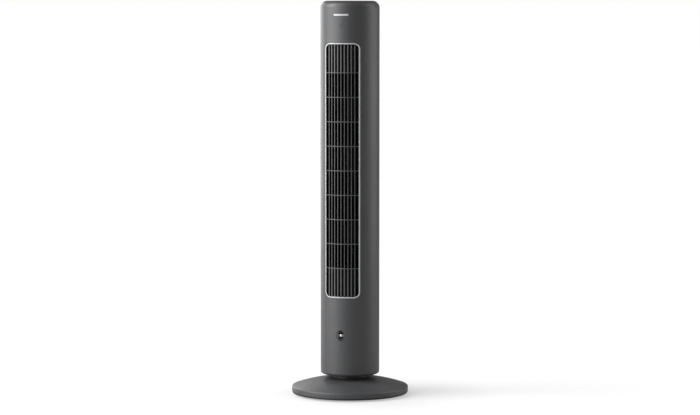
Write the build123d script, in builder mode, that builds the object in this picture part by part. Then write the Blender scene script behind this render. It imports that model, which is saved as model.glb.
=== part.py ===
from build123d import *
import math
import os

# Tower fan: a slim column with a tangential impeller, swinging on a weighted round base.
# Millimetres. +Z is up, the front faces -Y, and the origin is the centre of the base, on the floor.

os.makedirs("parts", exist_ok=True)

# Overall sizes
total_height = 1055.0
base_radius = 156.2
column_radius = 79.0
column_bottom = 55.6
wall = 2.5
foot_height = 4.0

# Clearances
slide_gap = 0.3
snug_gap = 0.1
running_gap = 0.06

# Base
tray_floor = foot_height + wall
tray_lip_radius = base_radius - 2.8
rim_seam = 9.4
crest_centre_radius = base_radius - 4.0
crest_centre_height = 19.2
deck_height = 45.6
deck_radius = 50.0
deck_hole_radius = 30.0
gland_height = 14.5

# Swivel post and swing drive
neck_radius = 44.5
neck_top = 53.6
post_radius = 16.0
post_bore = 12.5
post_top = 82.0
gear_bottom = 73.0
gear_top = 79.0
gear_module = 1.0
gear_teeth = 60
pinion_teeth = 15
pinion_centre = (0.0, gear_module * (gear_teeth + pinion_teeth) / 2)

# Column shells
shell_inside = column_radius - wall
plate_radius = shell_inside - slide_gap
bottom_round = 7.0
shoulder_width = 19.0
shoulder_height = 19.0
cap_seam = total_height - 6.0
boss_x = 68.0
boss_reach = 45.0
web_reach = 20.0
seam_gap = 0.15
boss_heights = (110.0, 300.0, 600.0, 905.0, 1010.0)

# Front grille opening, as seen from the front
opening_half_width = 48.5
opening_bottom = 266.4
opening_top = 943.0
opening_corner = 15.0
trim_width = 3.0
rib_count = 9
rib_pitch = 64.9
lowest_rib = 345.6
bar_count = 9
bar_spread = 55.0

# Air system
impeller_centre = (0.0, 12.0)
impeller_radius = 46.0
blade_inner_radius = 34.0
blade_count = 28
segment_count = 8
segment_height = 66.0
impeller_bottom = 341.0
impeller_top = impeller_bottom + segment_count * segment_height
chamber_bottom = 329.0
chamber_top = 880.0
cable_point = (-59.0, -42.0)
cable_radius = 2.2

# Motor
motor_radius = 44.0
motor_bottom = 236.0
motor_top = 300.0
motor_plate_top = 229.0
shaft_radius = 4.0

# Controls
panel_radius = 57.0
panel_seat = total_height - 2.0
button_radius = 7.0
button_travel = 0.8
button_ring_radius = 42.0
button_names = ("button_timer", "button_mode", "button_power", "button_speed", "button_swing")
board_top = total_height - 17.4
board_thickness = 1.6

# Scent holder
scent_height = 166.0
scent_radius = 13.3


def circle_points(radius, count, start=0.0, centre=(0.0, 0.0)):
    """Points spaced evenly round a circle, from a start angle in degrees."""
    turns = [math.radians(start + 360.0 * k / count) for k in range(count)]
    return [(centre[0] + radius * math.cos(t), centre[1] + radius * math.sin(t)) for t in turns]


def tube(inner, outer, low, high, centre=(0.0, 0.0), mode=Mode.ADD):
    """A vertical ring; an inner radius of 0 makes it a disc."""
    with BuildSketch(Plane.XY.offset(low)) as ring:
        with Locations(centre):
            Circle(outer)
            if inner > 0:
                Circle(inner, mode=Mode.SUBTRACT)
    extrude(ring.sketch, amount=high - low, mode=mode)


def posts(radius, low, high, points, mode=Mode.ADD):
    """Vertical round posts, or holes, at the points given."""
    with BuildSketch(Plane.XY.offset(low)) as ends:
        with Locations(*points):
            Circle(radius)
    extrude(ends.sketch, amount=high - low, mode=mode)


def rods(radius, near, far, points, mode=Mode.ADD):
    """Round rods, or holes, along Y between two depths, at points given as (x, z)."""
    places = [(x, (near + far) / 2, z) for x, z in points]
    with Locations(*places):
        Cylinder(radius, far - near, rotation=(90, 0, 0), mode=mode)


def block(x_range, y_range, z_range, mode=Mode.ADD):
    """A box between two limits on each axis."""
    ranges = (x_range, y_range, z_range)
    middle = [(low + high) / 2 for low, high in ranges]
    size = [high - low for low, high in ranges]
    with Locations(tuple(middle)):
        Box(*size, mode=mode)


def window(half_width, low, high, corner, reach, mode):
    """A rounded rectangular prism; a positive reach runs to the front, a negative one to the rear."""
    with BuildSketch(Plane.XZ) as outline:
        with Locations((0, (low + high) / 2)):
            RectangleRounded(2 * half_width, high - low, corner)
    extrude(outline.sketch, amount=reach, mode=mode)


def window_frame(half_width, low, high, corner, width, reach, mode):
    """The border of a rounded rectangular window, of even width."""
    with BuildSketch(Plane.XZ) as outline:
        with Locations((0, (low + high) / 2)):
            RectangleRounded(2 * half_width, high - low, corner)
            inner_size = (2 * (half_width - width), high - low - 2.5 * width)
            RectangleRounded(*inner_size, corner - width, mode=Mode.SUBTRACT)
    extrude(outline.sketch, amount=reach, mode=mode)


def shoulder_radius(height):
    """Outer radius of the column's rounded top edge at a height."""
    rise = (height - (total_height - shoulder_height)) / shoulder_height
    return column_radius - shoulder_width + shoulder_width * math.sqrt(max(0.0, 1.0 - rise * rise))


def shell_section():
    """Section of the column's wall: bottom flange, rounded edge, straight wall and shoulder."""
    flange_inner = 58.0
    straight_bottom = column_bottom + bottom_round
    straight_top = total_height - shoulder_height
    shoulder_mid = (straight_top + cap_seam) / 2
    edge_turn = math.cos(math.radians(45))
    edge_centre = (column_radius - bottom_round, straight_bottom)
    inner_round = bottom_round - wall
    seam = cap_seam - 0.2
    with BuildSketch(Plane.XZ) as section:
        with BuildLine():
            Line((flange_inner, column_bottom), (edge_centre[0], column_bottom))
            ThreePointArc(
                (edge_centre[0], column_bottom),
                (edge_centre[0] + bottom_round * edge_turn, edge_centre[1] - bottom_round * edge_turn),
                (column_radius, straight_bottom),
            )
            Line((column_radius, straight_bottom), (column_radius, straight_top))
            ThreePointArc(
                (column_radius, straight_top),
                (shoulder_radius(shoulder_mid), shoulder_mid),
                (shoulder_radius(seam), seam),
            )
            Line((shoulder_radius(seam), seam), (shoulder_radius(seam) - wall, seam))
            ThreePointArc(
                (shoulder_radius(seam) - wall, seam),
                (shoulder_radius(shoulder_mid) - wall, shoulder_mid),
                (shell_inside, straight_top),
            )
            Line((shell_inside, straight_top), (shell_inside, straight_bottom))
            ThreePointArc(
                (shell_inside, straight_bottom),
                (edge_centre[0] + inner_round * edge_turn, edge_centre[1] - inner_round * edge_turn),
                (edge_centre[0], column_bottom + wall),
            )
            Line((edge_centre[0], column_bottom + wall), (flange_inner, column_bottom + wall))
            Line((flange_inner, column_bottom + wall), (flange_inner, column_bottom))
        make_face()
    return section.sketch


def screw_bosses(radius, y_range, web_y_range):
    """Bosses along Y beside the seam, each tied to the wall by a web, kept inside the outer surface."""
    rods(radius, *y_range, boss_points)
    for x, height in boss_points:
        web_x = sorted((x, math.copysign(column_radius - 3.0, x)))
        block(web_x, web_y_range, (height - 1, height + 1))
    tube(0, column_radius - 0.5, column_bottom, total_height, mode=Mode.INTERSECT)


def polar_point(radius, angle):
    """A point at a radius and an angle in radians."""
    return (radius * math.cos(angle), radius * math.sin(angle))


def gear_disc(teeth, start_angle, low, high, centre):
    """An involute spur gear with 20 degree flanks; a tooth is centred on the start angle."""
    backlash = 0.3
    pressure_angle = math.radians(20)
    pitch = gear_module * teeth / 2
    base = pitch * math.cos(pressure_angle)
    tip = pitch + 0.9 * gear_module
    root = pitch - 1.25 * gear_module
    half_pitch_angle = math.pi / (2 * teeth) - backlash / (2 * pitch)

    def involute(radius):
        angle = math.acos(min(1.0, base / radius))
        return math.tan(angle) - angle

    def half_angle(radius):
        return half_pitch_angle + involute(pitch) - involute(radius)

    flank_start = max(root, base)
    flank = [flank_start + (tip - flank_start) * k / 4 for k in range(5)]
    below = root - 0.3
    rising = [polar_point(below, -half_angle(flank_start))]
    rising += [polar_point(radius, -half_angle(radius)) for radius in flank]
    falling = [(x, -y) for x, y in reversed(rising)]
    with BuildSketch(Plane.XY.offset(low)) as outline:
        with Locations(centre):
            Circle(root)
            with PolarLocations(0, teeth, start_angle=start_angle):
                Polygon(*rising, *falling, align=None)
    extrude(outline.sketch, amount=high - low)


# ---------------------------------------------------------------- base

feet_points = circle_points(117.0, 6, 30.0)
base_screw_points = circle_points(120.0, 6, 0.0)
post_screw_points = circle_points(36.0, 4, 45.0)
screw_radius = 1.45
screw_pilot = 1.5
screw_clearance_hole = 1.7
screw_head_radius = 3.2
screw_head_height = 2.1

# Flat moulded tray that closes the base from below
with BuildPart() as base_tray:
    with BuildSketch(Plane.XZ):
        with BuildLine():
            Line((20, foot_height), (base_radius - 3.5, foot_height))
            RadiusArc((base_radius - 3.5, foot_height), (base_radius - 0.5, foot_height + 3.0), -3.0)
            Polyline(
                (base_radius - 0.5, foot_height + 3.0),
                (base_radius - 0.5, rim_seam - 0.3),
                (tray_lip_radius, rim_seam - 0.3),
                (tray_lip_radius, rim_seam + 3.6),
                (tray_lip_radius - wall, rim_seam + 3.6),
                (tray_lip_radius - wall, tray_floor),
                (20, tray_floor),
                (20, foot_height),
            )
        make_face()
    revolve(axis=Axis.Z)
    posts(3.6, foot_height, tray_floor, feet_points, mode=Mode.SUBTRACT)
    posts(screw_clearance_hole, foot_height, tray_floor, base_screw_points, mode=Mode.SUBTRACT)
    block((-9, 9), (140, base_radius), (tray_floor, rim_seam + 4), mode=Mode.SUBTRACT)

# Shallow domed cover with a flat deck for the neck
with BuildPart() as base_cover:
    crest_angle = math.radians(72.6)
    crest_mid = crest_angle / 2
    crest_end = (
        crest_centre_radius + 4.0 * math.cos(crest_angle),
        crest_centre_height + 4.0 * math.sin(crest_angle),
    )
    crest_middle = (
        crest_centre_radius + 4.0 * math.cos(crest_mid),
        crest_centre_height + 4.0 * math.sin(crest_mid),
    )
    inner_crest_end = (crest_end[0] - 0.7, crest_end[1] - 2.4)
    inner_crest_start = (base_radius - wall, crest_centre_height)
    dome_mid = (103.0, 36.95)
    with BuildSketch(Plane.XZ):
        with BuildLine():
            Line((base_radius, rim_seam), (base_radius, crest_centre_height))
            ThreePointArc((base_radius, crest_centre_height), crest_middle, crest_end)
            ThreePointArc(crest_end, dome_mid, (deck_radius, deck_height))
            Polyline(
                (deck_radius, deck_height),
                (deck_hole_radius, deck_height),
                (deck_hole_radius, deck_height - wall),
                (deck_radius, deck_height - wall),
            )
            ThreePointArc(
                (deck_radius, deck_height - wall), (dome_mid[0] - 0.4, dome_mid[1] - wall), inner_crest_end
            )
            Line(inner_crest_end, inner_crest_start)
            Polyline(
                inner_crest_start,
                (base_radius - wall, rim_seam),
                (base_radius, rim_seam),
            )
        make_face()
    revolve(axis=Axis.Z)
    posts(4.0, tray_floor, 31.0, base_screw_points)
    posts(screw_pilot, tray_floor, 24.0, base_screw_points, mode=Mode.SUBTRACT)
    posts(screw_clearance_hole, deck_height - wall, deck_height, post_screw_points, mode=Mode.SUBTRACT)
    rods(5.5, base_radius - 7, base_radius + 1, [(0, gland_height)], mode=Mode.SUBTRACT)

# Steel ring that keeps the fan upright
with BuildPart() as ballast_plate:
    tube(42.0, 112.0, tray_floor, tray_floor + 8.0)
    chamfer(ballast_plate.faces().sort_by(Axis.Z)[-1].edges(), 0.8)

with BuildPart() as rubber_feet:
    posts(9.0, 0, foot_height, feet_points)
    chamfer(rubber_feet.faces().group_by(Axis.Z)[0].edges(), 0.8)
    posts(3.5, foot_height, tray_floor + 1.5, feet_points)

with BuildPart() as base_screws:
    posts(screw_head_radius, foot_height - screw_head_height, foot_height, base_screw_points)
    posts(screw_radius, foot_height, 20.0, base_screw_points)
    deck_underside = deck_height - wall
    posts(screw_head_radius, deck_underside - screw_head_height, deck_underside, post_screw_points)
    posts(screw_radius, deck_underside, 50.0, post_screw_points)

# Rubber bush where the supply lead enters the rim
with BuildPart() as cord_gland:
    gland_inner = base_radius - 7.5
    gland_outer = base_radius - 0.3
    rods(5.3, gland_inner + 2.0, gland_outer, [(0, gland_height)])
    rods(6.2, gland_inner, gland_inner + 4.1, [(0, gland_height)])
    rods(3.6, gland_inner - 0.5, base_radius, [(0, gland_height)], mode=Mode.SUBTRACT)

# Neck and hollow post that the column swings on
with BuildPart() as swivel_post:
    with BuildSketch(Plane.XZ):
        with BuildLine():
            Polyline(
                (neck_radius, deck_height),
                (neck_radius, neck_top - 1.0),
                (neck_radius - 1.0, neck_top),
                (post_radius, neck_top),
                (post_radius, post_top),
                (post_bore, post_top),
                (post_bore, neck_top - wall),
                (neck_radius - wall, neck_top - wall),
                (neck_radius - wall, deck_height),
                (neck_radius, deck_height),
            )
        make_face()
    revolve(axis=Axis.Z)
    posts(4.5, deck_height, neck_top - wall + 0.5, post_screw_points)
    posts(screw_pilot, deck_height, 51.0, post_screw_points, mode=Mode.SUBTRACT)
    flat_offset = 14.8
    flat_bottom = 70.5
    for side in (-1, 1):
        edges_x = sorted((side * flat_offset, side * 18.0))
        block(edges_x, (-18, 18), (flat_bottom, post_top), mode=Mode.SUBTRACT)
    tube(15.0, 17.0, gear_top, gear_top + 1.6, mode=Mode.SUBTRACT)

# Low-friction ring that carries the column's weight
with BuildPart() as glide_ring:
    tube(37.5, 43.4, neck_top, column_bottom + wall)

with BuildPart() as thrust_washer:
    tube(post_radius + snug_gap, 24.0, 70.3, gear_bottom - 0.3)

# Fixed gear on the post's two flats
with BuildPart() as swing_gear:
    gear_disc(gear_teeth, 0.0, gear_bottom, gear_top, (0, 0))
    with BuildSketch(Plane.XY.offset(gear_bottom)) as double_flat:
        Circle(post_radius + 0.05)
        Rectangle(2 * flat_offset + snug_gap, 40, mode=Mode.INTERSECT)
    extrude(double_flat.sketch, amount=gear_top - gear_bottom, mode=Mode.SUBTRACT)

with BuildPart() as gear_clip:
    tube(15.05, 20.0, gear_top + 0.1, gear_top + 1.5)
    block((-5, 5), (-21, -10), (gear_top, gear_top + 2), mode=Mode.SUBTRACT)

# ---------------------------------------------------------------- column structure

flange_screw_points = circle_points(65.0, 6, 15.0)
bracket_points = [(-34.0, pinion_centre[1]), (34.0, pinion_centre[1])]
swing_motor_screw_points = [(-15.0, pinion_centre[1]), (15.0, pinion_centre[1])]
turntable_bottom = column_bottom + wall + 0.1
turntable_top = turntable_bottom + 3.4
bracket_bottom = 82.3
bracket_top = 83.9

# Plate that turns on the post and closes the column's foot
with BuildPart() as turntable_plate:
    tube(0, 71.7, turntable_bottom, turntable_top)
    tube(0, 22.0, turntable_bottom, 70.0)
    posts(4.0, turntable_top, bracket_bottom, bracket_points)
    tube(0, post_radius + running_gap, turntable_bottom, 70.0, mode=Mode.SUBTRACT)
    posts(screw_pilot, turntable_bottom, turntable_top, flange_screw_points, mode=Mode.SUBTRACT)
    posts(screw_pilot, 72.0, bracket_bottom, bracket_points, mode=Mode.SUBTRACT)

grille_front = column_radius - 1.2
boss_points = [(side * boss_x, height) for height in boss_heights for side in (-1, 1)]

# Front half of the column, with the grille opening
with BuildPart() as front_shell:
    screw_bosses(4.5, (-boss_reach, -seam_gap), (-web_reach, -seam_gap))
    revolve(shell_section(), axis=Axis.Z)
    split(bisect_by=Plane.XZ.offset(seam_gap), keep=Keep.TOP)
    rods(screw_pilot + 0.05, -16, 0, boss_points, mode=Mode.SUBTRACT)
    window(
        opening_half_width + 0.1,
        opening_bottom - 0.1,
        opening_top + 0.1,
        opening_corner + 0.1,
        100,
        Mode.SUBTRACT,
    )
    rods(5.15, -90, -60, [(0, 990)], mode=Mode.SUBTRACT)
    rods(15.1, -90, -60, [(0, scent_height)], mode=Mode.SUBTRACT)
    posts(1.6, column_bottom, column_bottom + wall, flange_screw_points, mode=Mode.SUBTRACT)

board_posts = [(side * 38.0, height) for height in (118.0, 186.0) for side in (-1, 1)]
handle_half_width = 40.0
handle_bottom = 954.0
handle_top = 991.0
intake_half_width = 62.0
intake_bottom = 342.0
intake_top = 874.0

# Rear half of the column, with the intake opening and the hand hole
with BuildPart() as rear_shell:
    screw_bosses(5.0, (seam_gap, boss_reach), (seam_gap, web_reach))
    revolve(shell_section(), axis=Axis.Z)
    split(bisect_by=Plane.XZ.offset(-seam_gap), keep=Keep.BOTTOM)
    rods(3.0, 41.8, 67.5, board_posts)
    rods(screw_clearance_hole, 0, 10.1, boss_points, mode=Mode.SUBTRACT)
    rods(3.6, 10, 60, boss_points, mode=Mode.SUBTRACT)
    rods(screw_pilot, 41, 60, board_posts, mode=Mode.SUBTRACT)
    window(intake_half_width, intake_bottom, intake_top, 12, -100, Mode.SUBTRACT)
    window(handle_half_width, handle_bottom, handle_top, 10, -100, Mode.SUBTRACT)
    posts(1.6, column_bottom, column_bottom + wall, flange_screw_points, mode=Mode.SUBTRACT)

# Screws of the foot flange and of the rear shell
with BuildPart() as shell_screws:
    posts(screw_head_radius, column_bottom - screw_head_height, column_bottom, flange_screw_points)
    posts(screw_radius, column_bottom, turntable_top, flange_screw_points)
    rods(screw_radius, -14, 10, boss_points)
    rods(screw_head_radius, 10.1, 12.5, boss_points)
    rods(screw_radius, 9.5, 10.6, boss_points)

# Rear intake grille: a curved plate with rows of slots between slats and upright bars
with BuildPart() as intake_grille:
    slot_columns = 9
    slot_rows = 52
    column_pitch = 12.8
    row_pitch = 10.0
    intake_middle = (intake_bottom + intake_top) / 2
    tube(column_radius - 2.9, column_radius - 0.4, intake_bottom, intake_top)
    window(intake_half_width - 0.1, intake_bottom + 0.1, intake_top - 0.1, 12, -100, Mode.INTERSECT)
    with BuildSketch(Plane.XZ) as slots:
        with Locations((0, intake_middle)):
            with GridLocations(column_pitch, row_pitch, slot_columns, slot_rows):
                Rectangle(column_pitch - 2.6, row_pitch - 2.6)
    extrude(slots.sketch, amount=-100, mode=Mode.SUBTRACT)

# Pocket for the fingers when the fan is carried
with BuildPart() as carry_handle:
    block(
        (-handle_half_width - wall, handle_half_width + wall),
        (46, 90),
        (handle_bottom - wall, handle_top + wall),
    )
    fillet(carry_handle.edges().filter_by(Axis.Y), 6)
    block((-handle_half_width, handle_half_width), (48, 91), (handle_bottom, handle_top), Mode.SUBTRACT)
    tube(0, shell_inside - 0.1, handle_bottom - 10, handle_top + 10, mode=Mode.INTERSECT)

# ---------------------------------------------------------------- front grille and trim

# Upright bars and cross ribs; the bars are wide in the two closed end sections and thin between them
with BuildPart() as front_grille:
    highest_rib = lowest_rib + (rib_count - 1) * rib_pitch
    bar_start = -90 - bar_spread / 2
    sections = (
        (opening_bottom + 2, lowest_rib, 3.5, 3.2),
        (lowest_rib, highest_rib, 2.0, 6.0),
        (highest_rib, opening_top - 2, 3.5, 3.2),
    )
    for low, high, bar_width, bar_depth in sections:
        bar_radius = grille_front - bar_depth / 2
        with BuildSketch(Plane.XY.offset(low)) as bars:
            with PolarLocations(
                bar_radius, bar_count, start_angle=bar_start, angular_range=bar_spread, endpoint=True
            ):
                Rectangle(bar_depth, bar_width)
        extrude(bars.sketch, amount=high - low)
    with BuildPart(mode=Mode.PRIVATE) as ribs:
        with BuildSketch(Plane.XZ) as rib_sections:
            with Locations((grille_front - 1.6, (lowest_rib + highest_rib) / 2)):
                with GridLocations(1, rib_pitch, 1, rib_count):
                    Rectangle(3.6, 2.0)
        revolve(rib_sections.sketch, axis=Axis.Z)
        window(opening_half_width - 2, opening_bottom + 2, opening_top - 2, 12, 100, Mode.INTERSECT)
    add(ribs.part)
    with BuildPart(mode=Mode.PRIVATE) as grille_border:
        tube(grille_front - 3.4, grille_front + 0.3, opening_bottom, opening_top)
        window_frame(
            opening_half_width - 0.1,
            opening_bottom + 0.1,
            opening_top - 0.1,
            opening_corner,
            trim_width,
            100,
            Mode.INTERSECT,
        )
    add(grille_border.part)

# Plain panels behind the two closed end sections
with BuildPart() as blank_panels:
    blank_outer = grille_front - 3.8
    for low, high in ((opening_bottom + 4.5, lowest_rib - 1.5), (highest_rib + 1.5, opening_top - 4.5)):
        tube(blank_outer - 1.5, blank_outer, low, high)
    window(46, opening_bottom, opening_top, 5, 100, Mode.INTERSECT)

# Bright bead round the grille
with BuildPart() as trim_ring:
    tube(grille_front + 0.4, column_radius + 1.1, opening_bottom, opening_top)
    window_frame(
        opening_half_width, opening_bottom, opening_top, opening_corner, trim_width, 100, Mode.INTERSECT
    )

# ---------------------------------------------------------------- top controls

button_angles = [-150.0 + 30.0 * k for k in range(len(button_names))]
button_points = [
    polar_point(button_ring_radius, math.radians(angle)) for angle in button_angles
]
panel_screw_points = circle_points(56.0, 4, 45.0)
cap_floor = cap_seam + 0.2
display_x = (-18.0, 18.0)
display_y = (4.0, 20.0)

# Lid of the column; its floor carries the panel and the buttons
with BuildPart() as top_cap:
    skirt_outer = 71.0
    skirt_inner = 69.0
    skirt_bottom = 1042.0
    shoulder_end = column_radius - shoulder_width
    arc_mid_height = total_height - 1.5
    with BuildSketch(Plane.XZ):
        with BuildLine():
            ThreePointArc(
                (shoulder_radius(cap_floor), cap_floor),
                (shoulder_radius(arc_mid_height), arc_mid_height),
                (shoulder_end, total_height),
            )
            Polyline(
                (shoulder_end, total_height),
                (panel_radius + 0.2, total_height),
                (panel_radius + 0.2, panel_seat),
                (0, panel_seat),
                (0, cap_floor),
                (skirt_inner, cap_floor),
                (skirt_inner, skirt_bottom),
                (skirt_outer, skirt_bottom),
                (skirt_outer, cap_floor),
                (shoulder_radius(cap_floor), cap_floor),
            )
        make_face()
    revolve(axis=Axis.Z)
    posts(3.5, board_top, cap_floor, panel_screw_points)
    posts(button_radius + slide_gap, cap_floor, panel_seat, button_points, mode=Mode.SUBTRACT)
    posts(screw_pilot, board_top, 1047.0, panel_screw_points, mode=Mode.SUBTRACT)
    block(display_x, display_y, (cap_floor, panel_seat), mode=Mode.SUBTRACT)

# Gloss panel let into the lid
with BuildPart() as control_panel:
    tube(0, panel_radius, panel_seat, total_height - 0.3)
    posts(button_radius + slide_gap, panel_seat, total_height, button_points, mode=Mode.SUBTRACT)

with BuildPart() as control_board:
    tube(0, 61.0, board_top - board_thickness, board_top)
    posts(
        screw_clearance_hole, board_top - board_thickness, board_top, panel_screw_points, mode=Mode.SUBTRACT
    )

with BuildPart() as display_module:
    block((-17.5, 17.5), (4.5, 19.5), (board_top, 1048.5))
    fillet(display_module.edges().filter_by(Axis.Z), 1)

switch_top = board_top + 3.4
plunger_top = board_top + 4.6
with BuildPart() as tact_switches:
    with Locations(*[(x, y, (board_top + switch_top) / 2) for x, y in button_points]):
        Box(6, 6, switch_top - board_top)
    posts(1.7, switch_top, plunger_top, button_points)

# Push buttons with a retaining flange below the lid
buttons = {}
for button_name, button_point in zip(button_names, button_points):
    with BuildPart() as button:
        tube(0, button_radius, 1049.0, total_height, button_point)
        fillet(button.faces().sort_by(Axis.Z)[-1].edges(), 0.8)
        tube(0, button_radius + 1.6, 1046.8, cap_floor - slide_gap, button_point)
        tube(0, 2.0, plunger_top + button_travel + 0.2, 1046.8, button_point)
    buttons[button_name] = button

# Remote-control window and the receiver behind it
with BuildPart() as ir_window:
    rods(5.0, -79, -74.5, [(0, 990)])
    tube(0, column_radius, 980, 1000, mode=Mode.INTERSECT)

with BuildPart() as ir_receiver:
    block((-5, 5), (-72.5, -69.5), (983, 997))
    with Locations((0, -72.0, 990)):
        Sphere(2.0)

# Plain plate where a maker would put a name
with BuildPart() as badge_plate:
    tube(column_radius, column_radius + 0.5, 1013, 1022)
    window(20.7, 1015.1, 1019.7, 2.2, 100, Mode.INTERSECT)

# ---------------------------------------------------------------- scent holder

with BuildPart() as aroma_sleeve:
    rods(15.0, -79, -46, [(0, scent_height)])
    tube(0, column_radius - 0.1, 140, 190, mode=Mode.INTERSECT)
    rods(scent_radius + slide_gap, -79, -47.5, [(0, scent_height)], mode=Mode.SUBTRACT)

# Twist cap: an oval finger recess crossed by a grip bar, and behind it the drum that holds the pad
with BuildPart() as aroma_cap:
    grip_height = 7.0
    rods(scent_radius, -77.6, -51, [(0, scent_height)])
    rods(scent_radius - 1.6, -71.8, -53, [(0, scent_height)], mode=Mode.SUBTRACT)
    with BuildSketch(Plane.XZ.offset(73.6)) as finger_recess:
        with Locations((0, scent_height)):
            Ellipse(9.0, 12.2)
            Rectangle(20, grip_height, mode=Mode.SUBTRACT)
    extrude(finger_recess.sketch, amount=5, mode=Mode.SUBTRACT)
    with BuildSketch(Plane.XZ.offset(77.0)) as grip:
        with Locations((0, scent_height)):
            Ellipse(9.0, 12.2)
            Rectangle(20, grip_height, mode=Mode.INTERSECT)
    extrude(grip.sketch, amount=2.4)
    for side in (-1, 1):
        slot_x = sorted((side * 9.0, side * 15.0))
        block(slot_x, (-70.5, -56), (scent_height - 4, scent_height + 4), Mode.SUBTRACT)

with BuildPart() as scent_pad:
    rods(scent_radius - 2.0, -61, -53.2, [(0, scent_height)])

# ---------------------------------------------------------------- swing drive

with BuildPart() as swing_bracket:
    with BuildSketch(Plane.XY.offset(bracket_bottom)) as bracket_outline:
        with Locations(pinion_centre):
            RectangleRounded(80, 22, 6)
            Circle(27)
            Circle(6, mode=Mode.SUBTRACT)
        with Locations(*bracket_points, *swing_motor_screw_points):
            Circle(screw_clearance_hole, mode=Mode.SUBTRACT)
    extrude(bracket_outline.sketch, amount=bracket_top - bracket_bottom)

swing_motor_top = 102.0
with BuildPart() as swing_motor:
    tube(0, 25.0, bracket_top, swing_motor_top, pinion_centre)
    fillet(swing_motor.faces().sort_by(Axis.Z)[-1].edges(), 1.5)
    tube(0, 3.05, bracket_top, 92.0, pinion_centre, mode=Mode.SUBTRACT)
    posts(screw_pilot, bracket_top, 92.0, swing_motor_screw_points, mode=Mode.SUBTRACT)

# Pinion with a moulded-in shaft; a gap between two teeth faces the fixed gear
with BuildPart() as drive_pinion:
    pinion_start = 18.0
    gear_disc(pinion_teeth, pinion_start, gear_bottom - 1.0, gear_top + 1.0, pinion_centre)
    tube(0, 3.0, gear_top, 91.0, pinion_centre)
    tube(0, 4.5, gear_bottom - 2.5, gear_bottom, pinion_centre)

# ---------------------------------------------------------------- fan motor

ear_points = circle_points(53.0, 3, 90.0, impeller_centre)
ear_top = motor_bottom + 2.0
shell_split = 268.0
sheet = 1.5
bush_radius = 8.0

with BuildPart() as motor_plate:
    tube(0, plate_radius, motor_plate_top - 3.0, motor_plate_top)
    posts(cable_radius + 1.2, motor_plate_top - 3.0, motor_plate_top, [cable_point], mode=Mode.SUBTRACT)
    posts(screw_pilot, motor_plate_top - 3.0, motor_plate_top, ear_points, mode=Mode.SUBTRACT)
    tube(0, 7.0, motor_plate_top - 3.0, motor_plate_top, impeller_centre, mode=Mode.SUBTRACT)

with BuildPart() as motor_mounts:
    posts(6.5, motor_plate_top, motor_bottom, ear_points)
    posts(screw_clearance_hole, motor_plate_top, motor_bottom, ear_points, mode=Mode.SUBTRACT)

# Lower bearing cup, bell and three ears
with BuildPart() as motor_shell_lower:
    tube(0, motor_radius, motor_bottom, shell_split, impeller_centre)
    fillet(motor_shell_lower.faces().sort_by(Axis.Z)[0].edges(), 3)
    tube(0, motor_radius - sheet, motor_bottom + sheet, shell_split, impeller_centre, mode=Mode.SUBTRACT)
    tube(0, bush_radius + sheet, motor_plate_top + 1.0, motor_bottom + 1.0, impeller_centre)
    for ear_x, ear_y in ear_points:
        outward = math.degrees(math.atan2(ear_y - impeller_centre[1], ear_x - impeller_centre[0]))
        ear_middle = polar_point(47.0, math.radians(outward))
        with BuildSketch(Plane.XY.offset(motor_bottom)) as ear:
            with Locations(
                Location((impeller_centre[0] + ear_middle[0], impeller_centre[1] + ear_middle[1]), outward)
            ):
                RectangleRounded(26, 15, 4)
        extrude(ear.sketch, amount=sheet)
    tube(
        0, bush_radius + 0.05, motor_plate_top + 1.0 + sheet, motor_bottom + sheet, impeller_centre,
        mode=Mode.SUBTRACT,
    )
    tube(0, shaft_radius + 0.6, motor_plate_top, motor_bottom, impeller_centre, mode=Mode.SUBTRACT)
    posts(screw_clearance_hole, motor_bottom, ear_top, ear_points, mode=Mode.SUBTRACT)

with BuildPart() as motor_shell_upper:
    tube(0, motor_radius, shell_split + 0.1, motor_top, impeller_centre)
    fillet(motor_shell_upper.faces().sort_by(Axis.Z)[-1].edges(), 3)
    tube(
        0, motor_radius - sheet, shell_split + 0.1, motor_top - sheet, impeller_centre, mode=Mode.SUBTRACT
    )
    tube(0, bush_radius + sheet, motor_top - 1.0, motor_top + 6.0, impeller_centre)
    tube(
        0, bush_radius + 0.05, motor_top - sheet, motor_top + 6.0 - sheet, impeller_centre,
        mode=Mode.SUBTRACT,
    )
    tube(0, shaft_radius + 0.6, motor_top, motor_top + 6.0, impeller_centre, mode=Mode.SUBTRACT)

with BuildPart() as motor_bushes:
    lower_bush = motor_plate_top + 1.0 + sheet
    upper_bush = motor_top - sheet
    tube(shaft_radius + 0.04, bush_radius, lower_bush, lower_bush + 5.8, impeller_centre)
    tube(shaft_radius + 0.04, bush_radius, upper_bush, upper_bush + 5.8, impeller_centre)

# Slotted lamination stack
core_bottom = 255.0
core_top = 281.0
rotor_radius = 23.0
with BuildPart() as stator_core:
    with BuildSketch(Plane.XY.offset(core_bottom)) as lamination:
        with Locations(impeller_centre):
            Circle(motor_radius - sheet - snug_gap)
            Circle(rotor_radius + 0.5, mode=Mode.SUBTRACT)
            with PolarLocations(30.0, 16):
                SlotOverall(12, 5, mode=Mode.SUBTRACT)
    extrude(lamination.sketch, amount=core_top - core_bottom)

with BuildPart() as stator_windings:
    tube(25.0, 36.0, core_top, core_top + 9.0, impeller_centre)
    tube(25.0, 36.0, core_bottom - 9.0, core_bottom, impeller_centre)
    rims = stator_windings.edges().filter_by(GeomType.CIRCLE)
    outer_rims = rims.group_by(Axis.Z)[0] + rims.group_by(Axis.Z)[-1]
    fillet(outer_rims, 3.5)

with BuildPart() as motor_rotor:
    tube(shaft_radius + 0.02, rotor_radius, core_bottom, core_top, impeller_centre)
    tube(14.0, rotor_radius - 1.5, core_bottom - 4.0, core_top + 4.0, impeller_centre)

with BuildPart() as motor_shaft:
    tube(0, shaft_radius, 231.8, 351.0, impeller_centre)

# ---------------------------------------------------------------- air system

plate_front = -56.0


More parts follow.
